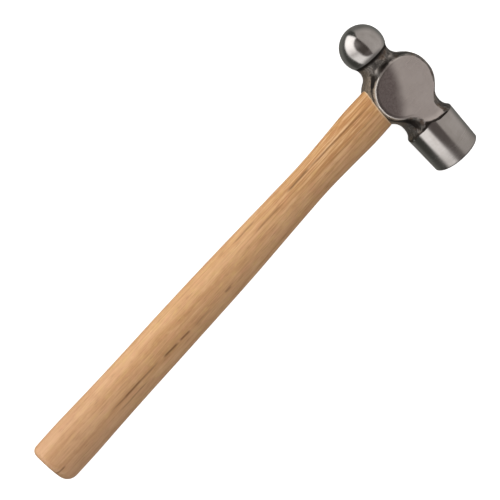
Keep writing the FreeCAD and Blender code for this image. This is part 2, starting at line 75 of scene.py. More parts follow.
# the poll's shoulder stands nearer the eye by the cheeks, behind a small wall. Each row is a
# distance across the head's upper side, towards its crown, and how much nearer the shoulder is
SHOULDER_ADVANCE = (
    (-20.8, -0.6), (-19.6, 1.2), (-17.0, 3.4), (-12.0, 4.5), (-9.5, 5.2), (-7.0, 6.8), (-3.0, 4.5),
    (1.0, 2.9), (5.0, 2.4), (9.5, 1.5), (14.0, 0.6), (20.8, 0.0),
)
UNDER_ADVANCE, SHOULDER_BLEND = 2.3, 8.0
WALL_FOOT, WALL_SOFT, WALL_RISE = 0.4, 0.3, 30.0

# lumps left by the forging: their size, stretch and height, and a seed for each
FORGING_LUMPS = (
    (11.0, (1, 1, 1), 0.30, 3.1),
    (4.2, (1, 1, 1), 0.13, 7.7),
    (5.0, (0.8, 0.8, 5.5), 0.10, 1.9),
)

# the eye, and the handle in it
EYE_SPAN, TENON_TOP = 31.0, 26.0
EYE_WAIST, EYE_MOUTH = (13.5, 9.0), (15.0, 10.25)
FIT_GAP = 0.05
BUTT_ROUND, BUTT_LOWER_ROUND = 5.0, 9.0
GRIP_TOP, TENON_ROOT, CROWN_GAP = -66.0, -26.0, 0.1
SCRIBE_CHAMFER, CHAMFER_INSET, CHAMFER_SLOPE = 0.8, 0.75, 0.8

# the unevenness of the shaved and handled grip: size, stretch, height and seed of its ripples
GRIP_RIPPLES = (
    (26.0, (0.35, 1, 1), 0.16, 5.3),
    (5.0, (0.08, 1, 1), 0.035, 2.3),
)

# distance from the eye centre towards the butt, width across the swing, thickness
HANDLE_SECTIONS = (
    (373.0, 35.8, 26.2),
    (355.0, 36.0, 26.6),
    (318.0, 34.8, 26.4),
    (245.0, 34.2, 26.2),
    (175.0, 32.7, 25.0),
    (130.0, 30.4, 23.4),
    (94.0, 29.2, 22.6),
    (66.0, 31.2, 23.6),
    (44.0, 33.3, 24.8),
    (17.0, 32.8, 24.4),
)
BUTT_END = -HANDLE_SECTIONS[0][0] - BUTT_ROUND

HEAD_LOW, HEAD_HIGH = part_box("head")
EYE_CENTRE = Vector((
    HEAD_HIGH[0] - TENON_TOP * MM,
    HEAD_LOW[1] + FACE_REACH * MM,
    (HEAD_LOW[2] + HEAD_HIGH[2]) / 2,
))


# ---------------------------------------------------------------- mesh helpers
def soft_min(a, b, blend):
    """The smaller of a and b, rounded over where they are within blend of each other."""
    share = np.clip(0.5 + 0.5 * (b - a) / blend, 0, 1)
    return a * share + b * (1 - share) - blend * share * (1 - share)


def smooth_step(low, high, value):
    """0 at low and beyond, 1 at high and beyond, and smooth between."""
    t = np.clip((value - low) / (high - low), 0, 1)
    return t * t * (3 - 2 * t)


def bell(value, middle, width):
    """1 where the value is at the middle, falling smoothly away on either side."""
    return np.exp(-((value - middle) / width) ** 2)


def noise_at(points, size, stretch=(1, 1, 1), seed=0.0):
    """Gradient noise at each point; size is that of a feature, in millimetres."""
    spots = np.asarray(points) * (np.array(stretch) / size) + seed
    return np.array([noise.noise(spot) for spot in spots])


def layered_noise(points, layers):
    """The sum of several noises, each given by its size, stretch, height and seed."""
    return sum(noise_at(points, size, stretch, seed) * height
               for size, stretch, height, seed in layers)


def tube_mesh(name, rings, low_pole, high_pole):
    """A closed mesh from rings of points, shape (rings, around, 3), capped by a fan at each end."""
    count, around = rings.shape[:2]
    points = np.concatenate((rings.reshape(-1, 3), [low_pole], [high_pole]))
    low, high = count * around, count * around + 1
    index = np.arange(count * around).reshape(count, around)
    ahead = np.roll(index, -1, axis=1)
    quads = np.stack((index[:-1], ahead[:-1], ahead[1:], index[1:]), axis=-1).reshape(-1, 4)
    faces = [tuple(map(int, quad)) for quad in quads]
    faces += [(low, int(ahead[0, i]), int(index[0, i])) for i in range(around)]
    faces += [(high, int(index[-1, i]), int(ahead[-1, i])) for i in range(around)]
    mesh = bpy.data.meshes.new(name)
    mesh.from_pydata([tuple(p) for p in points * MM + np.array(EYE_CENTRE)], [], faces)
    mesh.shade_smooth()
    mesh.validate()
    return mesh


def make_piece(name, mesh, materials):
    """An object of the scene from a mesh, with its materials in order."""
    piece = bpy.data.objects.new(name, mesh)
    bpy.context.scene.collection.objects.link(piece)
    for material in materials:
        mesh.materials.append(material)
    return piece


def cut(piece, cutters):
    """Subtract closed meshes from a piece, and remove them."""
    for cutter in cutters:
        boolean = piece.modifiers.new("cut", "BOOLEAN")
        boolean.operation = "DIFFERENCE"
        boolean.solver = "MANIFOLD"
        boolean.object = cutter
    graph = bpy.context.evaluated_depsgraph_get()
    result = bpy.data.meshes.new_from_object(piece.evaluated_get(graph))
    piece.modifiers.clear()
    piece.data = result
    for cutter in cutters:
        bpy.data.objects.remove(cutter)
    if not len(result.polygons):
        raise RuntimeError(piece.name + " was cut away")


def points_of(mesh):
    """The mesh's points, in millimetres about the eye centre."""
    flat = np.empty(len(mesh.vertices) * 3)
    mesh.vertices.foreach_get("co", flat)
    return (flat.reshape(-1, 3) - np.array(EYE_CENTRE)) / MM


def face_centres(mesh):
    """The middle of each face, in millimetres about the eye centre."""
    flat = np.empty(len(mesh.polygons) * 3)
    mesh.polygons.foreach_get("center", flat)
    return (flat.reshape(-1, 3) - np.array(EYE_CENTRE)) / MM


def face_normals(mesh):
    """The direction that each face looks in."""
    flat = np.empty(len(mesh.polygons) * 3)
    mesh.polygons.foreach_get("normal", flat)
    return flat.reshape(-1, 3)


def store(mesh, name, values):
    """Keep a number at each point of the mesh, for its material to read."""
    attribute = mesh.attributes.new(name, "FLOAT", "POINT")
    attribute.data.foreach_set("value", np.asarray(values, dtype=np.float32))


# ---------------------------------------------------------------- head
def arc_points(centre, radius, start, end, count):
    """Points on an arc between two angles, both ends included."""
    turn = np.linspace(start, end, count)
    return np.column_stack((centre[0] + radius * np.cos(turn), centre[1] + radius * np.sin(turn)))


def bearing(centre, point):
    """The angle at which a point lies from a centre."""
    return math.atan2(point[1] - centre[1], point[0] - centre[0])


def hollow_centre(corner, body, sweep, side):
    """Centre of a hollow arc that starts at a corner and runs tangent into the body's arc."""
    gap = corner - body
    length = np.linalg.norm(gap)
    reach = BODY_ARC + sweep
    along = (length ** 2 + reach ** 2 - sweep ** 2) / (2 * length)
    off = math.sqrt(reach ** 2 - along ** 2)
    unit = gap / length
    return body + unit * along + np.array((unit[1], -unit[0])) * off * side


def head_profile():
    """The head's outline as (radius, y) points from the ball's tip to the face, and its corners."""
    body = np.array((BODY_OFFSET, -BODY_SHIFT))
    base = np.array((math.sqrt(BALL_RADIUS ** 2 - BALL_SKIRT ** 2), BALL_CENTRE - BALL_SKIRT))
    shoulder = np.array((SHOULDER_RADIUS, -SHOULDER_REACH))
    rim = np.array((RIM_RADIUS, -RIM_REACH))
    edge = rim - RIM_CHAMFER
    rise = edge[1] + FACE_REACH
    crown = (edge[0] ** 2 + rise ** 2) / (2 * rise)
    neck_1 = hollow_centre(base, body, PEEN_NECK_SWEEP, 1)
    neck_2 = hollow_centre(shoulder, body, POLL_NECK_SWEEP, -1)
    up_1, up_2 = bearing(body, neck_1), bearing(body, neck_2)
    turn = 2 * math.pi
    skirt = math.asin(BALL_SKIRT / BALL_RADIUS)
    half_crown = math.asin(edge[0] / crown)
    parts = (
        arc_points((0, BALL_CENTRE), BALL_RADIUS, math.radians(89), -skirt, 62),
        arc_points(neck_1, PEEN_NECK_SWEEP, bearing(neck_1, base) % turn, up_1 % turn + math.pi, 26),
        arc_points(body, BODY_ARC, up_1, up_2, 88),
        arc_points(neck_2, POLL_NECK_SWEEP, up_2 + math.pi, bearing(neck_2, shoulder) % turn, 28),
        np.linspace(shoulder, rim, 36),
        np.linspace(rim, edge, 3),
        arc_points((0, crown - FACE_REACH), crown, -math.pi / 2 + half_crown,
                   -math.pi / 2 + math.radians(0.2), 22),
    )
    outline, corners = [parts[0]], []
    for i, part in enumerate(parts[1:]):
        # the necks run tangent into the body's arc, so its two ends aren't corners
        if i not in (1, 2):
            corners.append(sum(len(p) for p in outline) - 1)
        outline.append(part[1:])
    return np.concatenate(outline), corners


def break_corners(outline, corners, size):
    """Round each corner a little, with a ring either side of it to keep the shading crisp."""
    rows = []
    for i, point in enumerate(outline):
        if i not in corners:
            rows.append(point)
            continue
        back, ahead = outline[i - 1] - point, outline[i + 1] - point
        back, ahead = back / np.linalg.norm(back), ahead / np.linalg.norm(ahead)
        rows += [point + back * size * 2.2, point + back * size]
        rows.append(point + (back + ahead) * size * 0.28)
        rows += [point + ahead * size, point + ahead * size * 2.2]
    return np.array(rows)


def add_rings(outline, stations):
    """Put a ring at each given y, on the part of the outline behind the eye."""
    for y in stations:
        after = next(i for i in range(len(outline)) if outline[i][1] < y)
        low, high = outline[after], outline[after - 1]
        share = (y - low[1]) / (high[1] - low[1])
        outline = np.insert(outline, after, low + (high - low) * share, axis=0)
    return outline


def ring_angles(radius):
    """Angles from +Z towards +X, close together at the corners of the ground cheeks."""
    least_corner = math.radians(26)
    corner = math.acos(min(CHEEK_HALF / max(radius, CHEEK_HALF), math.cos(least_corner)))
    flat_count, side_count = 58, 80

    def spread(count):
        """Numbers from -1 to 1, closer together at both ends."""
        t = np.linspace(-1, 1, count, endpoint=False)
        return 0.55 * t + 0.45 * np.sin(t * math.pi / 2)

    flat = spread(flat_count) * corner
    side = math.pi / 2 + spread(side_count) * (math.pi / 2 - corner)
    half = np.concatenate((flat, side))
    return np.concatenate((half, half + math.pi))


def relief_height(x, y):
    """Height of the hollow that thins the peen neck between the cheeks; its rim is rounded."""
    gap = np.array((RELIEF_END - RELIEF_START, RELIEF_RISE - CHEEK_HALF))
    half = np.linalg.norm(gap) / 2
    off = math.sqrt(RELIEF_SWEEP ** 2 - half ** 2) / (2 * half)
    centre_y = RELIEF_START + gap[0] / 2 - gap[1] * off
    centre_z = CHEEK_HALF + gap[1] / 2 + gap[0] * off
    bow = RIDGE_BOW * x ** 2 * (1 - smooth_step(20, 30, y))
    ahead = y - RIDGE_SHIFT + bow - centre_y
    return centre_z - np.sqrt(np.clip(RELIEF_SWEEP ** 2 - ahead ** 2, 0, None))


def poll_advance(x, z):
    """How much nearer the eye the poll's shoulder stands by the cheeks than on the head's sides."""
    top = np.interp(x, [row[0] for row in SHOULDER_ADVANCE], [row[1] for row in SHOULDER_ADVANCE])
    under = UNDER_ADVANCE * smooth_step(16, 11, np.abs(x))
    return under + (top - under) * smooth_step(-2, 4, z)


def askew(x, y, z):
    """Shift of the head's rings near the shoulder, which carries it nearer the eye by the cheeks."""
    return poll_advance(x, z) * bell(y, -SHOULDER_REACH, SHOULDER_BLEND)


def cheek_end(x, z):
    """Where the ground cheek stops: at the foot of the wall that rises to the poll's shoulder."""
    return SHOULDER_REACH - poll_advance(x, z) - WALL_FOOT


def handleward(x, y):
    """Distance across the cheek towards the handle and a little towards the peen."""
    return -0.89 * x + 0.45 * y


def cheek_roll(x, y):
    """How far the cheek has rolled over towards the handle: an arc, then a straight slope."""
    run = np.clip(handleward(x, y) - ROLL_START, 0, None)
    arc = np.minimum(run, ROLL_RUN)
    return ROLL_CURVE * arc ** 2 + 2 * ROLL_CURVE * ROLL_RUN * (run - arc)


def cheek_bevel(x, y):
    """How far the cheek is bevelled at its edge on the crown's side."""
    depth = BEVEL_SLOPE * np.clip(np.hypot(x, y) - BEVEL_START, 0, BEVEL_RUN)
    return depth * smooth_step(0, 9, x) * smooth_step(-20, -12, y)


def cheek_limit(x, y, z):
    """Height that the ground cheek, its wall and the peen neck's hollow cut the forging down to."""
    end = cheek_end(x, z)
    beyond_wall = smooth_step(end - WALL_SOFT, end + WALL_SOFT, -y)
    run = np.clip(-y - end + FLARE_RUN, 0, FLARE_RUN)
    flare = FLARE_RADIUS - np.sqrt(FLARE_RADIUS ** 2 - run ** 2)
    flare = flare * (1 + FLARE_RISE * np.clip(x, 0, 12))
    lowered = (cheek_roll(x, y) + cheek_bevel(x, y)) * (1 - beyond_wall)
    ground = CHEEK_HALF - lowered + flare + WALL_RISE * beyond_wall
    hollow = np.where(y > 12, relief_height(x, y), NO_LIMIT)
    return np.where(y > RELIEF_END, NO_LIMIT, np.minimum(ground, hollow))


def forged_share(y):
    """How rough the forging is along the striking axis: none on the ball and on the poll."""
    base = BALL_CENTRE - BALL_SKIRT
    return smooth_step(0.2, 2.5, base - y) * smooth_step(0.2, 3.0, y + SHOULDER_REACH)


def head_rings():
    """The head's surface as rings round the striking axis, from the ball's tip to the face."""
    outline, corners = head_profile()
    outline = break_corners(outline, corners, CORNER_BREAK)
    outline = add_rings(outline, -SHOULDER_REACH + np.arange(2.2, 0.3, -0.15))
    outline = add_rings(outline, -SHOULDER_REACH - np.array((0.55, 0.85, 1.15)))
    turn = np.array([ring_angles(radius) for radius in outline[:, 0]])
    radius = outline[:, :1]
    level = np.broadcast_to(outline[:, 1:], turn.shape)
    x, z = radius * np.sin(turn), radius * np.cos(turn)
    y = level + askew(x * SHOULDER_RADIUS / radius, level, z)
    spots = np.stack((x, y, z), axis=-1).reshape(-1, 3)
    lumps = layered_noise(spots, FORGING_LUMPS)
    swell = 1 + lumps.reshape(x.shape) * forged_share(level) / np.maximum(radius, 1)
    x, z = x * swell, z * swell
    z = np.sign(z) * soft_min(np.abs(z), cheek_limit(x, y, z), CHEEK_BLEND)
    x = soft_min(x, TENON_TOP - 0.01, 0.3)
    return np.stack((x, y, z), axis=-1)


def eye_half(x, clearance):
    """Half width and half height of the hourglass eye at a distance x along the handle."""
    swell = (x / EYE_SPAN) ** 2
    wide = EYE_WAIST[0] + (EYE_MOUTH[0] - EYE_WAIST[0]) * swell - clearance
    high = EYE_WAIST[1] + (EYE_MOUTH[1] - EYE_WAIST[1]) * swell - clearance
    return wide, high


def eye_cutter(around=120):
    """The eye as a solid, flared a little where it leaves the top of the head."""
    low, outside = -38, TENON_TOP + 8
    flare_start, flare_middle, flare_end = TENON_TOP - 0.7, TENON_TOP - 0.4, TENON_TOP + 0.2
    straight = np.linspace(low, flare_start, 30)
    stations = np.concatenate((straight, (flare_middle, flare_end, outside)))
    flare = np.interp(stations, (flare_start, flare_end, outside), (0.0, 0.55, 0.9))
    turn = np.linspace(0, 2 * math.pi, around, endpoint=False)
    rings = []
    for x, grow in zip(stations, flare):
        wide, high = eye_half(x, -grow)
        rings.append(np.column_stack((np.full(around, x), wide * np.cos(turn), high * np.sin(turn))))
    mesh = tube_mesh("eye", np.array(rings), (stations[0], 0, 0), (stations[-1], 0, 0))
    return make_piece("eye_cutter", mesh, ())


BALL, FORGED, GROUND, TURNED, BORE = range(5)


def head_zones(mesh):
    """Which finish each face of the head has."""
    centres, normals = face_centres(mesh), face_normals(mesh)
    x, y, z = centres.T
    height = np.abs(z)
    zone = np.full(len(centres), FORGED)
    zone[(x > TENON_TOP - 0.25) & (np.abs(y) < 20)] = GROUND
    zone[y > BALL_CENTRE - BALL_SKIRT] = BALL
    zone[y < -SHOULDER_REACH + poll_advance(x, z)] = TURNED
    on_cheek = (y > -cheek_end(x, z) + 0.1) & (y < RELIEF_START + 1) & (height > CHEEK_FLOOR)
    below_ridge = relief_height(x, y) > height - 0.1
    beside_bevel = (np.hypot(x, y) < BEVEL_START + 0.2) | (x < 0) | (y < -14)
    reached = cheek_limit(x, y, z) - height < 0.16
    zone[reached & on_cheek & below_ridge & beside_bevel] = GROUND
    wide, high = eye_half(x, -0.6)
    inward = (y / wide) ** 2 + (z / high) ** 2 < 1
    zone[inward & (np.abs(normals[:, 0]) < 0.6)] = BORE
    return zone


class HeadSpots:
    """The head's points, and how each lies to the features where highlights, shade and reflections are
    painted.
    """

    def __init__(self, mesh):
        self.points = points_of(mesh)
        self.x, self.y, self.z = self.points.T
        outline = head_profile()[0]
        radius = np.interp(-self.y, -outline[:, 1], outline[:, 0])
        dome = np.sqrt(np.maximum(radius ** 2 - self.x ** 2, 0))
        # how far the round forging would stand above the cheek: below 0, the cheek isn't reached
        self.above = dome - cheek_limit(self.x, self.y, self.z)
        self.ragged = 0.35 * noise_at(self.points, 3.0, seed=4.4)
        self.high = np.abs(self.z) > CHEEK_FLOOR
        self.beside_eye = (self.y > -SHOULDER_REACH + 2.7) & (self.y < RELIEF_START + 4)
        self.by_handle = smooth_step(6, -14, self.x - 0.4 * self.y)
        self.end = cheek_end(self.x, self.z)
        self.shoulder = poll_advance(self.x, self.z) - SHOULDER_REACH
        self.forging = self.y > self.shoulder - 0.1
        bow = RIDGE_BOW * self.x ** 2
        self.past_ridge = self.y - RELIEF_START - RIDGE_SHIFT + bow + 2 * self.ragged


def highlight_share(s):
    """Painted highlight where edges catch the light: the cheek's rim by the handle, the hollow's ridge
    and the flare to the poll.
    """
    shine = (0.15 + 0.85 * s.by_handle) * smooth_step(-22, -13, s.y)
    rim = bell(s.above + s.ragged, 0.4, 0.7) * s.beside_eye * shine
    ridge = bell(s.past_ridge, -0.9, 0.6) * (s.above > 0.3) * (s.y > 8) * (s.x < 14)
    flare = smooth_step(4.5, 0.6, s.end + s.y) * (s.y > -s.end - 0.1) * (s.above > 0.5) * s.high
    return rim + 0.5 * ridge + 0.55 * flare


def rim_painted_shade(s):
    """Painted shade: dark lines outside and inside the cheek's rim, and under its lip towards the poll.
    """
    outer = bell(s.above + 2 * s.ragged, -3.4, 1.2) * s.beside_eye * (0.35 + 0.5 * s.by_handle)
    inner = bell(s.above + s.ragged, 3.0, 0.8) * s.beside_eye * s.by_handle
    lip = smooth_step(0.3, -0.9, s.above) * smooth_step(-8.0, -3.0, s.above)
    lip = lip * smooth_step(2, -4, s.x) * smooth_step(-13, -19, s.y)
    lip = lip * smooth_step(s.shoulder + 1, s.shoulder + 6, s.y)
    return outer + 0.55 * inner + 0.85 * lip


def peen_painted_shade(s):
    """Painted shade under the ball, and in the hollow just past the cheek's ridge."""
    base = BALL_CENTRE - BALL_SKIRT
    under_ball = smooth_step(base - 4.2, base - 1.3, s.y) * (s.y < base + 0.15)
    hollow = smooth_step(-0.2, 0.4, s.past_ridge) * smooth_step(4.2, 1.6, s.past_ridge)
    hollow = hollow * (s.y > 8) * (s.above > -5)
    return under_ball + hollow * (0.45 + 0.4 * s.by_handle)


def poll_painted_shade(s):
    """Painted shade at the poll's shoulder: before it, up the cheek's wall and at the wall's corner."""
    pocket = smooth_step(-26.5, -32.5, s.y) * (s.above < -0.4) * s.forging
    line = smooth_step(s.shoulder + 1.5, s.shoulder + 0.5, s.y) * s.forging * (s.x < 0)
    wall = (s.y < -s.end + 0.35) * (s.y > np.minimum(-s.end - 0.6, s.shoulder))
    wall = wall * s.high * (s.x > -14) * smooth_step(12.0, 8.5, s.x)
    corner = bell(s.x, -7.6, 1.6) * bell(s.y, -31.6, 1.2) * s.high
    return 0.30 * pocket + 0.55 * line + wall + 1.5 * corner


def mark_head(mesh):
    """Store where the head gets a painted highlight, painted shade and a painted dark reflection, and
    where a reflection of the handle's wood is painted.
    """
    s = HeadSpots(mesh)
    # the 'worn' number holds a painted highlight on edges that catch the light
    store(mesh, "worn", np.clip(highlight_share(s), 0, 1))
    # painted shade in the creases: round the cheek's rim, under the ball and at the poll's shoulder
    store(mesh, "painted_shade", np.clip(rim_painted_shade(s) + peen_painted_shade(s) + poll_painted_shade(s), 0, 1))
    # painted dark reflection on the cheek, growing towards the handle
    across = handleward(s.x, s.y) + 3.0 * noise_at(s.points, 9.0, seed=8.8)
    dark_reflection = smooth_step(0.5, 12.0, across) * (0.6 + 0.4 * smooth_step(-22, -6, s.y))
    store(mesh, "dark_reflection", dark_reflection * (s.above > 0) * s.high)
    # lighter, browner forging beside the handle: a painted reflection of the handle's wood
    by_eye = smooth_step(-15.0, -22.0, s.x)
    by_neck = 0.8 * smooth_step(-9.0, -16.0, s.x) * smooth_step(9.0, 15.0, s.y)
    store(mesh, "by_handle", np.maximum(by_eye, by_neck) * (s.above < 0))


def outward(mesh):
    """Turn the mesh right side out if its faces point inwards."""
    mesh.calc_loop_triangles()
    points = points_of(mesh)
    corners = np.empty(len(mesh.loop_triangles) * 3, dtype=np.int32)
    mesh.loop_triangles.foreach_get("vertices", corners)
    a, b, c = points[corners.reshape(-1, 3)].transpose(1, 0, 2)
    volume = np.einsum("ij,ij->i", a, np.cross(b, c)).sum()
    if volume < 0:
        mesh.flip_normals()


def make_head(materials):
    """The head: its forging, with the eye cut through, its finishes and its marks."""
    tip = BALL_CENTRE + BALL_RADIUS - 0.002
    mesh = tube_mesh("head", head_rings(), (0, tip, 0), (0, -FACE_REACH, 0))
    outward(mesh)
    piece = make_piece("hammer_head", mesh, materials)
    cutter = eye_cutter()
    outward(cutter.data)
    cut(piece, [cutter])
    piece.data.polygons.foreach_set("material_index", head_zones(piece.data).astype(np.int32))
    mark_head(piece.data)
    return piece


# ---------------------------------------------------------------- handle
def hermite(table, reach):
    """A smooth curve through the table's rows: width and thickness at a reach from the eye."""
    rows = np.array(sorted(table))
    xs, ys = rows[:, 0], rows[:, 1:]
    slope = np.gradient(ys, xs, axis=0)
    reach = np.clip(reach, xs[0], xs[-1])
    i = np.clip(np.searchsorted(xs, reach) - 1, 0, len(xs) - 2)
    step = (xs[i + 1] - xs[i])
    t = ((reach - xs[i]) / step)[..., None]
    step = step[..., None]
    return (
        (2 * t ** 3 - 3 * t ** 2 + 1) * ys[i]
        + (t ** 3 - 2 * t ** 2 + t) * step * slope[i]
        + (3 * t ** 2 - 2 * t ** 3) * ys[i + 1]
        + (t ** 3 - t ** 2) * step * slope[i + 1]
    )


def head_surface(y, z):
    """How far the head's body reaches along the handle's axis, either way from the eye centre."""
    radius = BODY_OFFSET + np.sqrt(BODY_ARC ** 2 - (y + BODY_SHIFT) ** 2)
    return np.sqrt(np.maximum(radius ** 2 - z ** 2, 1))


class Ovals:
    """A stack of rings round the handle's axis; a ring may be flat or follow a surface."""

    def __init__(self, around):
        turn = np.linspace(0, 2 * math.pi, around, endpoint=False)
        self.cos, self.sin = np.cos(turn), np.sin(turn)
        self.rings = []

    def add(self, x, half_y, half_z):
        """An oval ring of a half width and half thickness, at x."""
        self.add_points(x, np.column_stack((half_y * self.cos, half_z * self.sin)))

    def add_points(self, x, spots):
        """A ring through (y, z) spots, at x."""
        self.rings.append(np.column_stack((np.broadcast_to(x, len(spots)), spots)))

    def add_grip(self, x):
        """A ring of the handle's own section, at the reach that each of its points has."""
        size = hermite(HANDLE_SECTIONS, -x)
        self.add(x, size[:, 0] / 2, size[:, 1] / 2)


def add_butt(ovals):
    """The sawn butt and its edge, worn rounder on the face's side; returns where the grip starts."""
    wide, thick = HANDLE_SECTIONS[0][1:]
    worn = BUTT_ROUND + (BUTT_LOWER_ROUND - BUTT_ROUND) * smooth_step(0.2, -0.9, ovals.cos)
    for share in np.linspace(0.06, 0.97, 12):
        ovals.add(BUTT_END, (wide / 2 - worn) * share, (thick / 2 - worn) * share)
    for lift in np.linspace(0, math.pi / 2, 12)[:-1]:
        inset = worn * (1 - math.sin(lift))
        x = BUTT_END + worn * (1 - math.cos(lift))
        ovals.add(x, wide / 2 - inset, thick / 2 - inset)
    return BUTT_END + worn


def add_grip(ovals, start):
    """The grip, and the last stretch up to the line where it is scribed to the head."""
    for share in np.linspace(0, 1, 430)[:-1]:
        ovals.add_grip(start * (1 - share) + GRIP_TOP * share)
    meets = np.full(len(ovals.cos), TENON_ROOT)
    for _ in range(6):
        size = hermite(HANDLE_SECTIONS, -meets)
        meets = -head_surface(size[:, 0] / 2 * ovals.cos, size[:, 1] / 2 * ovals.sin)
    for share in np.linspace(0, 1, 64):
        ovals.add_grip(GRIP_TOP + (meets - SCRIBE_CHAMFER - GRIP_TOP) * share)


def add_shoulder(ovals):
    """The chamfered shoulder, down the head's surface to the tenon; returns the tenon's root."""
    outer = ovals.rings[-1][:, 1:].copy()
    half_y, half_z = eye_half(TENON_ROOT, FIT_GAP)
    root = np.column_stack((half_y * ovals.cos, half_z * ovals.sin))
    overhang = np.linalg.norm(outer - root, axis=1)[:, None]
    for inset in (0.5, CHAMFER_INSET, 1.1):
        spots = outer + (root - outer) * inset / overhang
        chamfer = max(0.0, CHAMFER_INSET - inset) * CHAMFER_SLOPE
        ovals.add_points(-head_surface(*spots.T) - FIT_GAP - chamfer, spots)
    ovals.add_points(-head_surface(*root.T) - FIT_GAP, root)
    return -head_surface(*root.T)


def add_tenon(ovals, low):
    """The tenon, filling the eye, and its end, dressed flush with the head's crown."""
    half_y, half_z = eye_half(TENON_TOP, FIT_GAP)

    def crown(share):
        """How far the tenon's end reaches, on an oval that is a share of its size."""
        surface = head_surface(half_y * share * ovals.cos, half_z * share * ovals.sin)
        return np.minimum(surface, TENON_TOP) - CROWN_GAP

    for share in np.linspace(0.03, 1, 26):
        x = low + (crown(1.0) - 0.2 - low) * share
        ovals.add(x, *eye_half(x, FIT_GAP))
    for share in np.linspace(0.985, 0.05, 16):
        ovals.add(crown(share), half_y * share, half_z * share)


def handle_rings(around=144):
    """The handle's surface as rings round its axis, from the butt to the tenon's end."""
    ovals = Ovals(around)
    start = add_butt(ovals)
    add_grip(ovals, start)
    add_tenon(ovals, add_shoulder(ovals))
    return np.array(ovals.rings)


def hand_worn(rings):
    """The rings with the grip's ripples, which fade out towards the head and the butt."""
    spots = rings.reshape(-1, 3)
    x = spots[:, 0]
    on_grip = smooth_step(30, 60, -x) * smooth_step(BUTT_END, BUTT_END + 12, x)
    swell = layered_noise(spots, GRIP_RIPPLES)
    away = spots * np.array((0, 1, 1))
    away /= np.maximum(np.linalg.norm(away, axis=1), 1e-6)[:, None]
    return (spots + away * (swell * on_grip)[:, None]).reshape(rings.shape)


def wedge_cutter(node):
    """A copy of a wedge's CAD mesh, to cut its slot in the tenon."""
    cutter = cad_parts[node].copy()
    cutter.data = cutter.data.copy()
    cutter.parent = None
    cutter.matrix_world = Matrix.Identity(4)
    cutter.name = "cut_" + node
    bpy.context.scene.collection.objects.link(cutter)
    return cutter


def make_handle(material, wedge_nodes):
    """The handle: its shaved and worn surface, the slots of its wedges, and a painted highlight along
    its edge at the head.
    """
    rings = hand_worn(handle_rings())
    mesh = tube_mesh("handle", rings, (BUTT_END, 0, 0), (TENON_TOP - CROWN_GAP, 0, 0))
    outward(mesh)
    piece = make_piece("hammer_handle", mesh, [material])
    piece.visible_glossy = False
    cut(piece, [wedge_cutter(node) for node in wedge_nodes])
    points = points_of(piece.data)
    x, y, z = points.T
    # pale band along the wood's chamfered edge at the head: a painted highlight
    gap = -head_surface(y, z) - x + 0.5 * noise_at(points, 2.0, seed=6.1)
    store(piece.data, "shoulder_highlight", smooth_step(2.2, 0.9, gap) * (x < 0))
    return piece


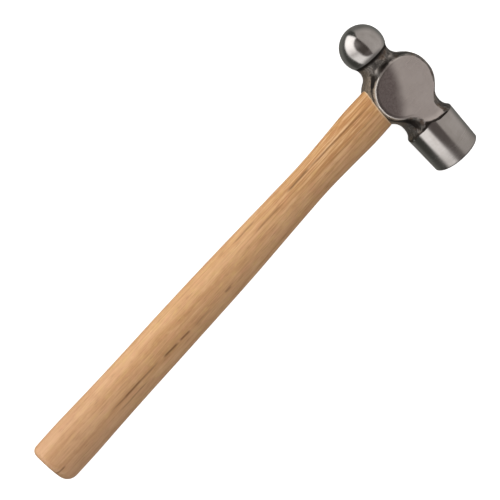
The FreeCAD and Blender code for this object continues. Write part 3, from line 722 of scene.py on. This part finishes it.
# ---------------------------------------------------------------- material helpers
class Shader:
    """Builds one material's nodes; a method that makes a node returns its socket."""

    def __init__(self, name):
        self.material = bpy.data.materials.new(name)
        self.material.use_nodes = True
        self.tree = self.material.node_tree
        self.surface = self.tree.nodes["Principled BSDF"]
        self.place = self.tree.nodes.new("ShaderNodeTexCoord").outputs["Object"]

    def node(self, kind, **settings):
        """A new node of a kind, with its settings."""
        made = self.tree.nodes.new("ShaderNode" + kind)
        for key, value in settings.items():
            setattr(made, key, value)
        return made

    def plug(self, socket, value):
        """Link a socket to another, or give it a value; None leaves it as it is."""
        if isinstance(value, bpy.types.NodeSocket):
            self.tree.links.new(value, socket)
        elif value is not None:
            socket.default_value = value

    def about_eye(self, scale=(1, 1, 1)):
        """Position about the eye centre, in millimetres, times a scale on each axis."""
        shift = self.node("VectorMath", operation="SUBTRACT")
        self.plug(shift.inputs[0], self.place)
        shift.inputs[1].default_value = EYE_CENTRE
        grow = self.node("VectorMath", operation="MULTIPLY")
        self.plug(grow.inputs[0], shift.outputs[0])
        grow.inputs[1].default_value = [1000 * s for s in scale]
        return grow.outputs[0]

    def axis(self, vector, name):
        """One of the vector's components: X, Y or Z."""
        split = self.node("SeparateXYZ")
        self.plug(split.inputs[0], vector)
        return split.outputs[name]

    def noise(self, vector, scale, detail, rough=0.55):
        """Fractal noise about 0.5."""
        made = self.node("TexNoise")
        self.plug(made.inputs["Vector"], vector)
        made.inputs["Scale"].default_value = scale
        made.inputs["Detail"].default_value = detail
        made.inputs["Roughness"].default_value = rough
        return made.outputs["Fac"]

    def math(self, operation, a, b=None, c=None):
        """The result of one sum on numbers or sockets."""
        made = self.node("Math", operation=operation)
        for socket, value in zip(made.inputs, (a, b, c)):
            self.plug(socket, value)
        return made.outputs[0]

    def remap(self, value, low, high, to_low=0.0, to_high=1.0):
        """A smooth step: to_low at low and beyond, to_high at high and beyond."""
        made = self.node("MapRange", interpolation_type="SMOOTHSTEP")
        for socket, number in zip(made.inputs, (value, low, high, to_low, to_high)):
            self.plug(socket, number)
        return made.outputs[0]

    def ramp(self, value, stops):
        """A colour ramp through (place, colour) stops."""
        made = self.node("ValToRGB")
        ramp = made.color_ramp
        while len(ramp.elements) < len(stops):
            ramp.elements.new(0.5)
        for element, (place, colour) in zip(ramp.elements, stops):
            element.position = place
            element.color = (*colour, 1)
        self.plug(made.inputs[0], value)
        return made.outputs[0]

    def mix(self, share, a, b, blend="MIX"):
        """Colour a with a share of colour b; the Mix node's colour sockets are 6, 7 and 2."""
        made = self.node("Mix", data_type="RGBA", blend_type=blend)
        self.plug(made.inputs[0], share)
        for socket, value in ((made.inputs[6], a), (made.inputs[7], b)):
            self.plug(socket, (*value, 1) if isinstance(value, tuple) else value)
        return made.outputs[2]

    def attribute(self, name):
        """A number that store() kept on the mesh."""
        return self.node("Attribute", attribute_name=name).outputs["Fac"]

    def bump(self, height, distance, strength, normal=None):
        """A normal bent by a height; the distance is in metres."""
        made = self.node("Bump")
        self.plug(made.inputs["Height"], height)
        made.inputs["Distance"].default_value = distance
        made.inputs["Strength"].default_value = strength
        self.plug(made.inputs["Normal"], normal)
        return made.outputs[0]

    def finish(self, colour, rough, normal=None, metallic=0.0, **sockets):
        """Connect the surface shader and return the material."""
        self.plug(self.surface.inputs["Base Color"], colour)
        self.plug(self.surface.inputs["Roughness"], rough)
        self.surface.inputs["Metallic"].default_value = metallic
        self.plug(self.surface.inputs["Normal"], normal)
        for name, value in sockets.items():
            self.surface.inputs[name.replace("_", " ")].default_value = value
        return self.material


# ---------------------------------------------------------------- materials
def polished_steel():
    """The ball: buffed bright, with faint haze and a few fine scratches."""
    s = Shader("polished_steel")
    haze = s.noise(s.about_eye(), 0.12, 4)
    lines = s.noise(s.about_eye((0.25, 4.0, 0.25)), 1.0, 2)
    pits = s.noise(s.about_eye(), 1.6, 2)
    colour = s.ramp(haze, ((0.3, (0.50, 0.48, 0.46)), (0.7, (0.62, 0.60, 0.58))))
    rough = s.math("ADD", s.remap(haze, 0.3, 0.7, 0.10, 0.17), s.remap(lines, 0.35, 0.7, 0.0, 0.04))
    # painted shade at the ball's base
    colour = s.mix(s.attribute("painted_shade"), colour, (0.03, 0.025, 0.02))
    normal = s.bump(lines, 0.00002, 0.25, s.bump(pits, 0.00003, 0.25))
    return s.finish(colour, rough, normal, 1.0)


def turned_steel():
    """The poll and its face: fine turning marks round the striking axis, duller near the face."""
    s = Shader("turned_steel")
    marks = s.noise(s.about_eye((0.04, 5.0, 0.04)), 1.0, 4, 0.65)
    haze = s.noise(s.about_eye((1, 0.5, 1)), 0.1, 3)
    along = s.axis(s.about_eye(), "Y")
    colour = s.mix(s.remap(haze, 0.3, 0.7), (0.50, 0.475, 0.45), (0.60, 0.575, 0.555))
    colour = s.mix(s.remap(marks, 0.35, 0.65, 0.0, 0.25), colour, (0.38, 0.36, 0.34))
    colour = s.mix(s.remap(along, -50.0, -68.0, 0.0, 0.16), colour, (0.25, 0.24, 0.22))
    colour = s.mix(s.remap(along, -69.3, -70.2, 0.0, 0.8), colour, (0.12, 0.11, 0.10))
    colour = s.mix(s.remap(along, -71.0, -71.6, 0.0, 0.9), colour, (0.50, 0.475, 0.45))
    # painted shade at the poll's shoulder
    colour = s.mix(s.attribute("painted_shade"), colour, (0.05, 0.045, 0.04))
    rough = s.math("ADD", s.remap(along, -42.0, -66.0, 0.12, 0.26), s.remap(marks, 0.3, 0.7, 0.0, 0.06))
    normal = s.bump(marks, 0.00003, 0.35)
    return s.finish(colour, rough, normal, 1.0)


def ground_steel():
    """The cheeks: satin from a fine belt, with a painted dark reflection towards the handle, a painted
    highlight at the rim and painted shade in the creases.
    """
    s = Shader("ground_steel")
    belt = s.noise(s.about_eye((0.12, 3.5, 0.12)), 1.0, 4, 0.65)
    cloud = s.noise(s.about_eye(), 0.07, 3)
    fine = s.noise(s.about_eye(), 0.9, 4, 0.6)
    colour = s.mix(s.remap(cloud, 0.3, 0.7), (0.58, 0.53, 0.505), (0.66, 0.61, 0.585))
    colour = s.mix(s.remap(belt, 0.35, 0.7, 0.0, 0.22), colour, (0.46, 0.42, 0.40))
    colour = s.mix(s.remap(fine, 0.45, 0.75, 0.0, 0.18), colour, (0.40, 0.37, 0.35))
    # painted dark reflection on the cheek towards the handle
    dark_reflection = s.math("MULTIPLY", s.attribute("dark_reflection"), s.remap(fine, 0.25, 0.75, 0.95, 0.70))
    colour = s.mix(dark_reflection, colour, (0.150, 0.120, 0.118))
    # painted highlight along the cheek's rim and its flare to the poll
    colour = s.mix(s.attribute("worn"), colour, (0.90, 0.85, 0.80))
    # painted shade along the cheek's rim and its wall
    colour = s.mix(s.attribute("painted_shade"), colour, (0.055, 0.045, 0.04))
    rough = s.math("ADD", s.remap(cloud, 0.3, 0.7, 0.24, 0.32), s.remap(belt, 0.3, 0.7, 0.0, 0.08))
    normal = s.bump(belt, 0.00003, 0.3)
    return s.finish(colour, rough, normal, 1.0)


def forged_steel():
    """The necks and the body's sides: dark scale, rough from the dies."""
    s = Shader("forged_steel")
    grain = s.noise(s.about_eye(), 1.3, 4, 0.6)
    streaks = s.noise(s.about_eye((0.30, 0.22, 1.1)), 1.0, 3, 0.6)
    cloud = s.noise(s.about_eye(), 0.16, 3)
    tone = s.math("ADD", s.math("MULTIPLY", grain, 0.40), s.math("MULTIPLY", streaks, 0.60))
    colour = s.ramp(tone, (
        (0.32, (0.050, 0.045, 0.040)),
        (0.46, (0.160, 0.150, 0.140)),
        (0.56, (0.290, 0.272, 0.250)),
        (0.68, (0.720, 0.670, 0.600)),
    ))
    colour = s.mix(s.remap(cloud, 0.48, 0.66, 0.0, 0.50), colour, (0.20, 0.130, 0.085))
    # painted reflection of the handle's wood on the forging beside it
    near = s.math("MULTIPLY", s.attribute("by_handle"), s.remap(grain, 0.35, 0.62, 0.25, 0.95))
    colour = s.mix(near, colour, (0.46, 0.355, 0.255))
    # painted highlight on the hollow's ridge, the cheek's rim and the flare
    colour = s.mix(s.attribute("worn"), colour, (0.95, 0.90, 0.84))
    # painted shade in the forging's creases and hollows
    colour = s.mix(s.attribute("painted_shade"), colour, (0.020, 0.016, 0.013))
    rough = s.remap(tone, 0.3, 0.7, 0.60, 0.38)
    normal = s.bump(tone, 0.0004, 0.7)
    return s.finish(colour, rough, normal, 0.85)


def bore_steel():
    """Inside the eye: broached steel, darkened by oil and wood."""
    s = Shader("bore_steel")
    marks = s.noise(s.about_eye((0.1, 2.0, 2.0)), 1.0, 3)
    colour = s.ramp(marks, ((0.3, (0.06, 0.055, 0.05)), (0.7, (0.2, 0.19, 0.175))))
    return s.finish(colour, s.remap(marks, 0.3, 0.7, 0.6, 0.45), s.bump(marks, 0.0001, 0.5), 0.8)


# the darkest grain lines on the handle's upper side: start and end (x, y), half width, depth
GRAIN_MARKS = (
    ((-379.0, -3.2), (-369.0, -3.4), 1.0, 0.9),
    ((-322.0, -1.4), (-270.0, -2.7), 1.0, 0.75),
    ((-309.0, -1.7), (-288.0, -2.2), 1.4, 1.0),
    ((-317.0, -6.2), (-286.0, -6.8), 0.9, 0.5),
    ((-268.0, -3.4), (-252.5, -3.7), 1.5, 1.0),
    ((-251.5, -3.5), (-240.5, -4.3), 1.3, 0.95),
    ((-237.0, -5.0), (-219.0, -5.2), 1.0, 0.4),
    ((-204.0, -4.9), (-197.0, -5.1), 1.4, 0.65),
    ((-174.0, 13.6), (-150.0, 13.2), 0.9, 0.55),
    ((-157.0, 8.0), (-128.0, 7.8), 1.0, 0.6),
    ((-120.0, 10.4), (-93.0, 10.3), 1.2, 0.95),
    ((-100.0, 10.4), (-27.0, 9.2), 1.0, 0.8),
    ((-82.0, 2.6), (-30.0, 1.2), 0.8, 0.35),
)


def grain_mark(s, x, y, start, end, half_width):
    """One dark grain line, which wanders a little: 1 on its middle, 0 beside it and past its ends."""
    slope = (end[1] - start[1]) / (end[0] - start[0])
    drift = s.noise(s.about_eye((0.05, 0.02, 0.02)), 1.0, 2)
    line = s.math("MULTIPLY_ADD", x, slope, start[1] - slope * start[0] - 0.6)
    line = s.math("MULTIPLY_ADD", drift, 1.2, line)
    off = s.math("ABSOLUTE", s.math("SUBTRACT", y, line))
    middle, reach = (start[0] + end[0]) / 2, abs(end[0] - start[0]) / 2
    past = s.math("ABSOLUTE", s.math("SUBTRACT", x, middle))
    ends = s.remap(past, reach * 1.1, reach * 0.55)
    return s.math("MULTIPLY", s.remap(off, half_width, 0.0), ends)


def grain_marks(s, x, y, z):
    """All the dark grain lines, on the handle's upper side only."""
    marks = 0.0
    for start, end, half_width, depth in GRAIN_MARKS:
        mark = s.math("MULTIPLY", grain_mark(s, x, y, start, end, half_width), depth)
        marks = s.math("MAXIMUM", mark, marks)
    return s.math("MULTIPLY", marks, s.remap(z, 2.0, 5.0))


def growth_rings(s):
    """Growth rings about a pith below the handle, drawn out along it and uneven."""
    shift = s.node("VectorMath", operation="ADD")
    s.plug(shift.inputs[0], s.about_eye((0.010, 1.0, 1.0)))
    shift.inputs[1].default_value = (0, 5.0, 46.0)
    rings = s.node("TexWave", wave_type="RINGS", rings_direction="X", wave_profile="SAW")
    s.plug(rings.inputs["Vector"], shift.outputs[0])
    for name, value in (
        ("Scale", 0.085), ("Distortion", 3.4), ("Detail", 3.0),
        ("Detail Scale", 0.35), ("Detail Roughness", 0.6),
    ):
        rings.inputs[name].default_value = value
    return s.ramp(rings.outputs["Fac"], (
        (0.00, (0.640, 0.375, 0.180)),
        (0.60, (0.690, 0.415, 0.205)),
        (0.88, (0.600, 0.335, 0.150)),
        (1.00, (0.530, 0.280, 0.115)),
    ))


def near_head_grain(s, x, y, base):
    """Browner wood with stronger dark and pale lines towards the head."""
    near = s.math("MULTIPLY", s.remap(x, -200.0, -60.0), s.remap(y, -6.0, 8.0, 0.25, 1.0))
    base = s.mix(s.math("MULTIPLY", near, 0.8), base, (0.86, 0.78, 0.64), "MULTIPLY")
    lines = s.noise(s.about_eye((0.016, 0.75, 0.75)), 1.0, 3, 0.7)
    dark = s.math("MULTIPLY", s.remap(lines, 0.50, 0.59), s.math("MULTIPLY_ADD", near, 0.52, 0.14))
    pale = s.math("MULTIPLY", s.remap(lines, 0.49, 0.40), s.math("MULTIPLY_ADD", near, 0.40, 0.08))
    base = s.mix(dark, base, (0.400, 0.180, 0.058))
    return s.mix(pale, base, (0.860, 0.600, 0.350))


def hickory():
    """Clear-lacquered hickory, solid through the handle, so the butt shows its end grain."""
    s = Shader("hickory")
    place = s.about_eye()
    x, y, z = (s.axis(place, name) for name in "XYZ")
    drift = s.noise(s.about_eye((0.012, 0.10, 0.10)), 1.0, 2)
    mottle = s.noise(s.about_eye((0.07, 0.16, 0.16)), 1.0, 4, 0.62)
    fibre = s.noise(s.about_eye((0.028, 1.1, 1.1)), 1.0, 5, 0.68)
    hue = s.noise(s.about_eye((0.12, 0.35, 0.35)), 1.0, 3, 0.6)
    pores = s.noise(s.about_eye((0.11, 2.6, 2.6)), 1.0, 3, 0.55)
    base = growth_rings(s)
    for figure, low, high, share, colour in (
        (drift, 0.35, 0.68, 0.50, (0.655, 0.380, 0.190)),
        (mottle, 0.48, 0.72, 0.55, (0.500, 0.262, 0.115)),
        (mottle, 0.46, 0.26, 0.50, (0.780, 0.505, 0.275)),
        (fibre, 0.48, 0.68, 0.55, (0.430, 0.215, 0.090)),
        (fibre, 0.45, 0.28, 0.50, (0.800, 0.540, 0.310)),
        (hue, 0.50, 0.70, 0.50, (0.660, 0.345, 0.190)),
        (hue, 0.48, 0.30, 0.50, (0.670, 0.435, 0.170)),
        (x, -250.0, -370.0, 0.35, (0.580, 0.340, 0.210)),
    ):
        base = s.mix(s.remap(figure, low, high, 0.0, share), base, colour)
    porous = s.math("MULTIPLY", s.remap(pores, 0.57, 0.68), s.remap(mottle, 0.35, 0.65, 0.3, 1.0))
    base = s.mix(s.math("MULTIPLY", porous, 0.6), base, (0.30, 0.135, 0.050))
    base = near_head_grain(s, x, y, base)
    base = s.mix(grain_marks(s, x, y, z), base, (0.230, 0.105, 0.035))
    # painted highlight along the wood's chamfered edge at the head
    base = s.mix(s.math("MULTIPLY", s.attribute("shoulder_highlight"), 0.7), base, (0.86, 0.68, 0.46))
    rough = s.math("ADD", s.remap(fibre, 0.3, 0.7, 0.42, 0.50), s.math("MULTIPLY", porous, 0.12))
    height = s.math("SUBTRACT", s.math("MULTIPLY", fibre, 0.5), s.math("MULTIPLY", porous, 0.7))
    normal = s.bump(height, 0.00012, 0.45)
    return s.finish(base, rough, normal, 0.0, Coat_Weight=0.2, Coat_Roughness=0.3)


def wedge_timber():
    """The wood wedge: pale hardwood end grain, crushed and dulled."""
    s = Shader("wedge_timber")
    grain = s.noise(s.about_eye((0.1, 0.5, 3.0)), 1.0, 4, 0.6)
    dots = s.noise(s.about_eye((0.1, 4, 4)), 1.0, 2)
    colour = s.ramp(grain, ((0.3, (0.50, 0.36, 0.22)), (0.7, (0.78, 0.62, 0.42))))
    colour = s.mix(s.remap(dots, 0.55, 0.7, 0.0, 0.5), colour, (0.30, 0.19, 0.10))
    return s.finish(colour, s.remap(grain, 0.3, 0.7, 0.5, 0.62), s.bump(grain, 0.0002, 0.6), 0.0)


def wedge_steel():
    """The driven ends of the steel wedges: dull, peened and lightly rusted."""
    s = Shader("wedge_steel")
    dents = s.noise(s.about_eye(), 0.9, 3)
    rust = s.noise(s.about_eye(), 0.35, 4)
    colour = s.ramp(dents, ((0.3, (0.16, 0.155, 0.15)), (0.7, (0.42, 0.41, 0.4))))
    colour = s.mix(s.remap(rust, 0.55, 0.75, 0.0, 0.6), colour, (0.2, 0.09, 0.04))
    return s.finish(colour, s.remap(dents, 0.3, 0.7, 0.5, 0.35), s.bump(dents, 0.0003, 0.7), 0.9)


def floor_paper():
    """Plain pale paper, with some light of its own so that it renders white."""
    s = Shader("floor_paper")
    tooth = s.noise(s.place, 900.0, 2)
    colour = s.ramp(tooth, ((0.3, (0.86, 0.86, 0.86)), (0.7, (0.89, 0.89, 0.89))))
    s.surface.inputs["Emission Color"].default_value = (1, 1, 1, 1)
    s.surface.inputs["Emission Strength"].default_value = 0.8
    return s.finish(colour, 0.8)


# ---------------------------------------------------------------- stage
def make_floor():
    """A sheet just under the hammer, seen by the camera but not by the steel or the wood."""
    half, level = 6.0, -0.0003
    mesh = bpy.data.meshes.new("floor")
    corners = [(x * half, y * half, level) for x, y in ((-1, -1), (1, -1), (1, 1), (-1, 1))]
    mesh.from_pydata(corners, [], [(0, 1, 2, 3)])
    floor = make_piece("floor", mesh, [floor_paper()])
    floor.visible_glossy = False
    floor.visible_diffuse = False


class WorldShader(Shader):
    """The same node helpers, for the world's light."""

    def __init__(self, name):
        world = bpy.data.worlds.new(name)
        world.use_nodes = True
        bpy.context.scene.world = world
        self.tree = world.node_tree
        for node in list(self.tree.nodes):
            self.tree.nodes.remove(node)
        self.place = self.node("TexCoord").outputs["Generated"]


def tent_left(s, x, y, z):
    """The handle's side of the tent: a bright soft wall, with a dark ground and ceiling."""
    low = s.math("MINIMUM", s.math("MULTIPLY_ADD", y, -0.5, -0.08), 0.06)
    high = s.math("MULTIPLY_ADD", s.math("MAXIMUM", s.math("SUBTRACT", y, 0.1), 0.0), -0.46, 0.735)
    above = s.remap(s.math("SUBTRACT", z, low), -0.12, 0.06)
    below = s.remap(s.math("SUBTRACT", z, high), -0.10, 0.05, 1.0, 0.0)
    beside = s.remap(x, -0.02, 0.09, 1.0, 0.0)
    wall = s.ramp(s.math("MULTIPLY_ADD", y, 0.5, 0.5), (
        (0.05, (0.60, 0.58, 0.57)), (0.25, (1.22, 1.19, 1.18)), (0.42, (1.12, 1.09, 1.08)),
        (0.58, (0.70, 0.67, 0.66)), (0.72, (1.25, 1.21, 1.19)), (0.90, (1.75, 1.70, 1.68)),
    ))
    ground = s.mix(s.remap(z, -0.9, -0.5), (0.20, 0.20, 0.185), (0.065, 0.066, 0.060))
    peen_corner = s.math("MULTIPLY", s.remap(y, 0.25, 0.85), s.remap(x, 0.05, -0.5))
    ceiling = s.mix(peen_corner, (0.085, 0.072, 0.065), (0.34, 0.31, 0.30))
    ceiling = s.mix(s.remap(y, -0.15, -0.36), ceiling, (0.145, 0.125, 0.120))
    dark = s.mix(s.remap(z, -0.1, 0.3), ground, ceiling)
    return s.mix(s.math("MULTIPLY", s.math("MULTIPLY", above, below), beside), dark, wall)


def make_world():
    """A light tent: plain grey over the head's crown, brighter and uneven on the handle's side."""
    s = WorldShader("tent")
    x, y, z = (s.axis(s.place, name) for name in "XYZ")
    left = tent_left(s, x, y, z)
    right = s.mix(s.remap(z, -0.6, 0.2), (0.20, 0.20, 0.19), (0.52, 0.485, 0.465))
    edge = s.remap(z, 0.55, -0.25, 0.055, 0.35)
    tent = s.mix(s.remap(s.math("SUBTRACT", x, edge), -0.02, 0.02), left, right)
    tent = s.mix(s.remap(y, -0.62, -0.85), tent, (0.22, 0.21, 0.205))
    seen = s.node("Background")
    s.plug(seen.inputs["Color"], tent)
    plain = s.node("Background")
    plain.inputs["Color"].default_value = (0.93, 0.93, 0.93, 1)
    choose = s.node("MixShader")
    s.plug(choose.inputs[0], s.node("LightPath").outputs["Is Camera Ray"])
    s.plug(choose.inputs[1], seen.outputs[0])
    s.plug(choose.inputs[2], plain.outputs[0])
    s.plug(s.node("OutputWorld").inputs["Surface"], choose.outputs[0])


def soft_light(name, spot, size, watts):
    """A square lamp aimed at the frame's origin, which lights the wood but isn't mirrored."""
    data = bpy.data.lights.new(name, "AREA")
    data.size = size
    data.energy = watts
    lamp = bpy.data.objects.new(name, data)
    bpy.context.scene.collection.objects.link(lamp)
    lamp.location = spot
    lamp.rotation_euler = (-Vector(spot)).to_track_quat("-Z", "Y").to_euler()
    lamp.visible_camera = False
    lamp.visible_glossy = False


def make_camera():
    """The view from over the butt and the peen, nearly straight down, with the hammer aslant."""
    sideways, forward, roll = math.radians(-9.23), math.radians(17.15), math.radians(44.6)
    distance, lens = 0.9489, 93.6
    target = EYE_CENTRE + Vector((-0.1670, -0.0010, 0))
    away = Vector((math.sin(sideways), math.sin(forward), 0))
    away.z = math.sqrt(1 - away.x ** 2 - away.y ** 2)
    across = Vector((math.cos(roll), math.sin(roll), 0)).cross(away).normalized()
    turn = Matrix((across, away.cross(across), away)).transposed()
    data = bpy.data.cameras.new("camera")
    data.lens, data.sensor_width = lens, 36.0
    data.clip_start = 0.01
    camera = bpy.data.objects.new("camera", data)
    bpy.context.scene.collection.objects.link(camera)
    camera.matrix_world = Matrix.Translation(target + away * distance) @ turn.to_4x4()
    bpy.context.scene.camera = camera


# ---------------------------------------------------------------- the whole scene
WOOD_WEDGE, STEEL_WEDGES = "wood_wedge", ("front_steel_wedge", "rear_steel_wedge")


def dress(node, material):
    """Give a CAD node a material in place of its plain one."""
    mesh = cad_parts[node].data
    mesh.materials.clear()
    mesh.materials.append(material)


make_camera()
make_floor()
make_world()
soft_light("overhead", (-0.05, -0.10, 2.20), 2.4, 4.0)
soft_light("face_side", (-0.10, -2.00, 0.60), 1.2, 4.5)
soft_light("peen_side", (-0.15, 1.80, 0.80), 1.2, 26.0)

head = make_head([polished_steel(), forged_steel(), ground_steel(), turned_steel(), bore_steel()])
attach(head, "root")
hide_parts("head")

handle = make_handle(hickory(), (WOOD_WEDGE, *STEEL_WEDGES))
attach(handle, "root")
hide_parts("handle")

dress(WOOD_WEDGE, wedge_timber())
driven_steel = wedge_steel()
for wedge in STEEL_WEDGES:
    dress(wedge, driven_steel)

bpy.context.scene.view_settings.view_transform = "Standard"
